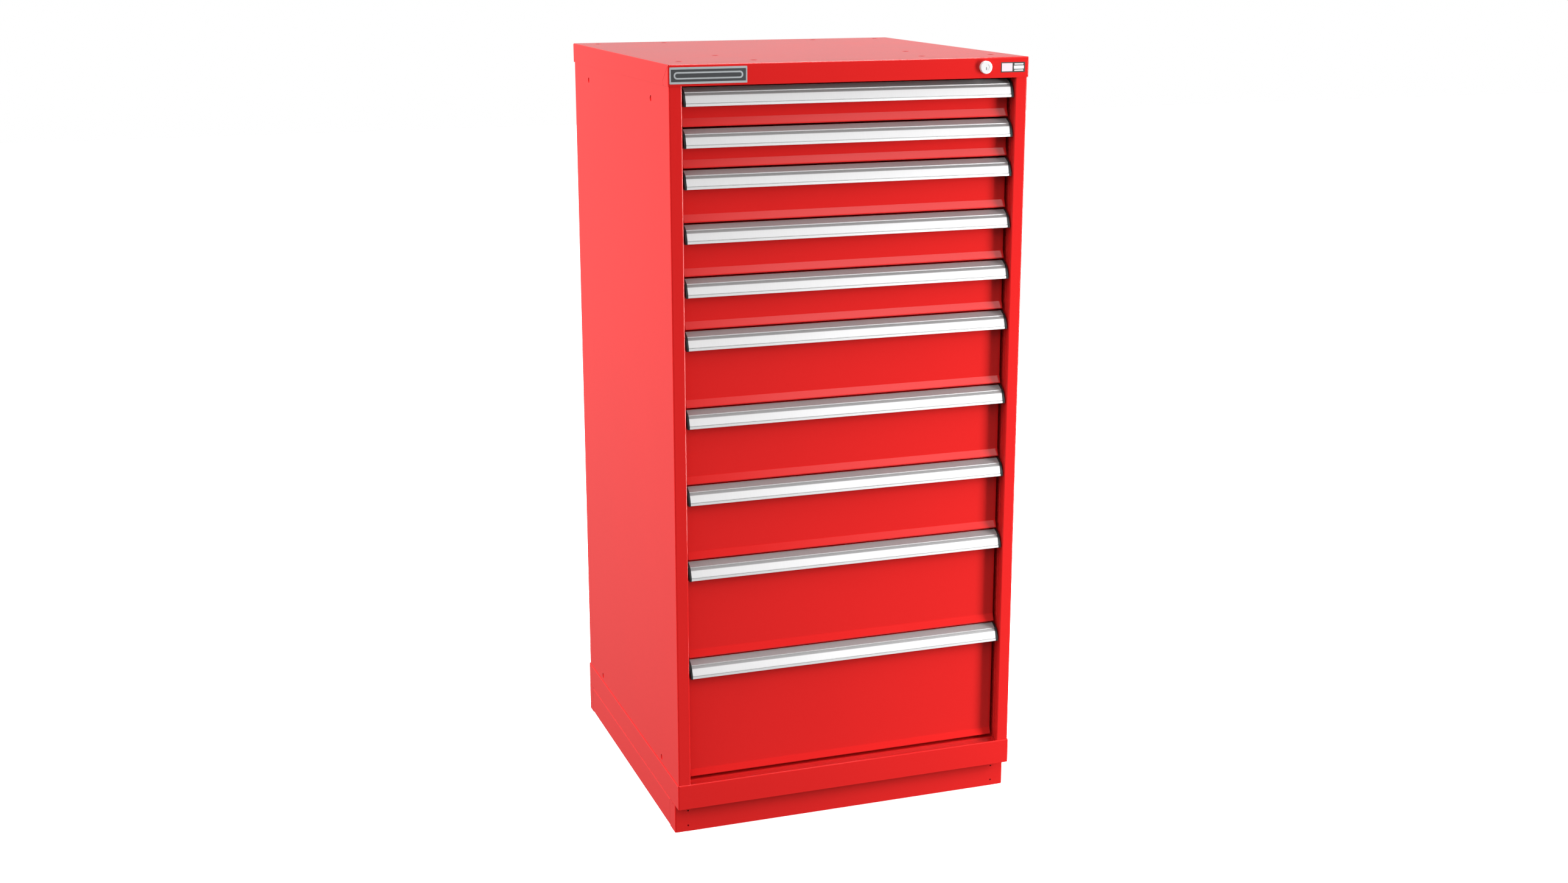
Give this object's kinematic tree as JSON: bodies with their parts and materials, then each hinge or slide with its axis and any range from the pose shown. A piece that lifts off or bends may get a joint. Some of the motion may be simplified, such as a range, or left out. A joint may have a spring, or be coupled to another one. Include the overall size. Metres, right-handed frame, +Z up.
{
  "type": "tool cabinet",
  "caption": "Tall modular tool cabinet of red sheet steel on a fixed plinth, with full-width drawers of growing depth, aluminium handles and a central lock.",
  "frame": {"origin": "on the floor, under the centre of the bounding box, which includes the lock's face", "axes": "+X is the cabinet's right seen from the front, +Y runs from front to back, +Z is up"},
  "size_m": [0.7176, 0.7304, 1.5113],
  "materials": {
    "case_paint": "gloss powder coat",
    "drawer_paint": "gloss powder coat",
    "rail_steel": "zinc plated",
    "handle_aluminium": "satin anodised",
    "end_cap_plastic": "moulded",
    "lock_chrome": "polished",
    "badge_metal": "satin, dark field inside a bright rim",
    "label_film": "printed film, blank"
  },
  "bodies": {
    "cabinet": {"top_cap": "case_paint", "left_side_panel": "case_paint", "right_side_panel": "case_paint", "back_panel": "case_paint", "bottom_pan": "case_paint", "plinth_front": "case_paint", "plinth_back": "case_paint", "plinth_side_rails": "case_paint", "left_front_upright": "case_paint", "right_front_upright": "case_paint", "left_rear_upright": "case_paint", "right_rear_upright": "case_paint", "cabinet_rails": "rail_steel", "lock_body": "lock_chrome", "lock_nut": "rail_steel", "badge_plate": "badge_metal", "blank_label": "label_film"},
    "lock_plug": {"lock_plug": "lock_chrome", "lock_cam": "rail_steel"},
    "lock_bar": {"lock_bar": "rail_steel"},
    "drawer_01": {"drawer_01_body": "drawer_paint", "drawer_01_handle": "handle_aluminium", "drawer_01_end_caps": "end_cap_plastic"},
    "drawer_01_carriages": {"drawer_01_carriages": "rail_steel"},
    "drawer_02": {"drawer_02_body": "drawer_paint", "drawer_02_handle": "handle_aluminium", "drawer_02_end_caps": "end_cap_plastic"},
    "drawer_02_carriages": {"drawer_02_carriages": "rail_steel"},
    "drawer_03": {"drawer_03_body": "drawer_paint", "drawer_03_handle": "handle_aluminium", "drawer_03_end_caps": "end_cap_plastic"},
    "drawer_03_carriages": {"drawer_03_carriages": "rail_steel"},
    "drawer_04": {"drawer_04_body": "drawer_paint", "drawer_04_handle": "handle_aluminium", "drawer_04_end_caps": "end_cap_plastic"},
    "drawer_04_carriages": {"drawer_04_carriages": "rail_steel"},
    "drawer_05": {"drawer_05_body": "drawer_paint", "drawer_05_handle": "handle_aluminium", "drawer_05_end_caps": "end_cap_plastic"},
    "drawer_05_carriages": {"drawer_05_carriages": "rail_steel"},
    "drawer_06": {"drawer_06_body": "drawer_paint", "drawer_06_handle": "handle_aluminium", "drawer_06_end_caps": "end_cap_plastic"},
    "drawer_06_carriages": {"drawer_06_carriages": "rail_steel"},
    "drawer_07": {"drawer_07_body": "drawer_paint", "drawer_07_handle": "handle_aluminium", "drawer_07_end_caps": "end_cap_plastic"},
    "drawer_07_carriages": {"drawer_07_carriages": "rail_steel"},
    "drawer_08": {"drawer_08_body": "drawer_paint", "drawer_08_handle": "handle_aluminium", "drawer_08_end_caps": "end_cap_plastic"},
    "drawer_08_carriages": {"drawer_08_carriages": "rail_steel"},
    "drawer_09": {"drawer_09_body": "drawer_paint", "drawer_09_handle": "handle_aluminium", "drawer_09_end_caps": "end_cap_plastic"},
    "drawer_09_carriages": {"drawer_09_carriages": "rail_steel"},
    "drawer_10": {"drawer_10_body": "drawer_paint", "drawer_10_handle": "handle_aluminium", "drawer_10_end_caps": "end_cap_plastic"},
    "drawer_10_carriages": {"drawer_10_carriages": "rail_steel"}
  },
  "joints": [
    {"name": "drawer_01_slide", "type": "slide", "parent": "cabinet", "child": "drawer_01", "axis": [0, -1, 0], "range_m": [0, 0.65]},
    {"name": "drawer_01_carriage_slide", "type": "slide", "parent": "cabinet", "child": "drawer_01_carriages", "axis": [0, -1, 0], "range_m": [0, 0.325]},
    {"name": "drawer_02_slide", "type": "slide", "parent": "cabinet", "child": "drawer_02", "axis": [0, -1, 0], "range_m": [0, 0.65]},
    {"name": "drawer_02_carriage_slide", "type": "slide", "parent": "cabinet", "child": "drawer_02_carriages", "axis": [0, -1, 0], "range_m": [0, 0.325]},
    {"name": "drawer_03_slide", "type": "slide", "parent": "cabinet", "child": "drawer_03", "axis": [0, -1, 0], "range_m": [0, 0.65]},
    {"name": "drawer_03_carriage_slide", "type": "slide", "parent": "cabinet", "child": "drawer_03_carriages", "axis": [0, -1, 0], "range_m": [0, 0.325]},
    {"name": "drawer_04_slide", "type": "slide", "parent": "cabinet", "child": "drawer_04", "axis": [0, -1, 0], "range_m": [0, 0.65]},
    {"name": "drawer_04_carriage_slide", "type": "slide", "parent": "cabinet", "child": "drawer_04_carriages", "axis": [0, -1, 0], "range_m": [0, 0.325]},
    {"name": "drawer_05_slide", "type": "slide", "parent": "cabinet", "child": "drawer_05", "axis": [0, -1, 0], "range_m": [0, 0.65]},
    {"name": "drawer_05_carriage_slide", "type": "slide", "parent": "cabinet", "child": "drawer_05_carriages", "axis": [0, -1, 0], "range_m": [0, 0.325]},
    {"name": "drawer_06_slide", "type": "slide", "parent": "cabinet", "child": "drawer_06", "axis": [0, -1, 0], "range_m": [0, 0.65]},
    {"name": "drawer_06_carriage_slide", "type": "slide", "parent": "cabinet", "child": "drawer_06_carriages", "axis": [0, -1, 0], "range_m": [0, 0.325]},
    {"name": "drawer_07_slide", "type": "slide", "parent": "cabinet", "child": "drawer_07", "axis": [0, -1, 0], "range_m": [0, 0.65]},
    {"name": "drawer_07_carriage_slide", "type": "slide", "parent": "cabinet", "child": "drawer_07_carriages", "axis": [0, -1, 0], "range_m": [0, 0.325]},
    {"name": "drawer_08_slide", "type": "slide", "parent": "cabinet", "child": "drawer_08", "axis": [0, -1, 0], "range_m": [0, 0.65]},
    {"name": "drawer_08_carriage_slide", "type": "slide", "parent": "cabinet", "child": "drawer_08_carriages", "axis": [0, -1, 0], "range_m": [0, 0.325]},
    {"name": "drawer_09_slide", "type": "slide", "parent": "cabinet", "child": "drawer_09", "axis": [0, -1, 0], "range_m": [0, 0.65]},
    {"name": "drawer_09_carriage_slide", "type": "slide", "parent": "cabinet", "child": "drawer_09_carriages", "axis": [0, -1, 0], "range_m": [0, 0.325]},
    {"name": "drawer_10_slide", "type": "slide", "parent": "cabinet", "child": "drawer_10", "axis": [0, -1, 0], "range_m": [0, 0.65]},
    {"name": "drawer_10_carriage_slide", "type": "slide", "parent": "cabinet", "child": "drawer_10_carriages", "axis": [0, -1, 0], "range_m": [0, 0.325]},
    {"name": "lock_bar_lift", "type": "slide", "parent": "cabinet", "child": "lock_bar", "axis": [0, 0, 1], "range_m": [0, 0.01414]},
    {"name": "lock_turn", "type": "hinge", "parent": "cabinet", "child": "lock_plug", "pos_m": [0.2667, -0.3587, 1.4931], "axis": [0, 1, 0], "range_deg": [0, 90]}
  ],
  "couplings": [
    {"joint": "drawer_01_carriage_slide", "follows": "drawer_01_slide", "ratio": 0.5},
    {"joint": "drawer_02_carriage_slide", "follows": "drawer_02_slide", "ratio": 0.5},
    {"joint": "drawer_03_carriage_slide", "follows": "drawer_03_slide", "ratio": 0.5},
    {"joint": "drawer_04_carriage_slide", "follows": "drawer_04_slide", "ratio": 0.5},
    {"joint": "drawer_05_carriage_slide", "follows": "drawer_05_slide", "ratio": 0.5},
    {"joint": "drawer_06_carriage_slide", "follows": "drawer_06_slide", "ratio": 0.5},
    {"joint": "drawer_07_carriage_slide", "follows": "drawer_07_slide", "ratio": 0.5},
    {"joint": "drawer_08_carriage_slide", "follows": "drawer_08_slide", "ratio": 0.5},
    {"joint": "drawer_09_carriage_slide", "follows": "drawer_09_slide", "ratio": 0.5},
    {"joint": "drawer_10_carriage_slide", "follows": "drawer_10_slide", "ratio": 0.5},
    {"joint": "lock_turn", "follows": "lock_bar_lift", "rad_per_m": 111.07}
  ]
}
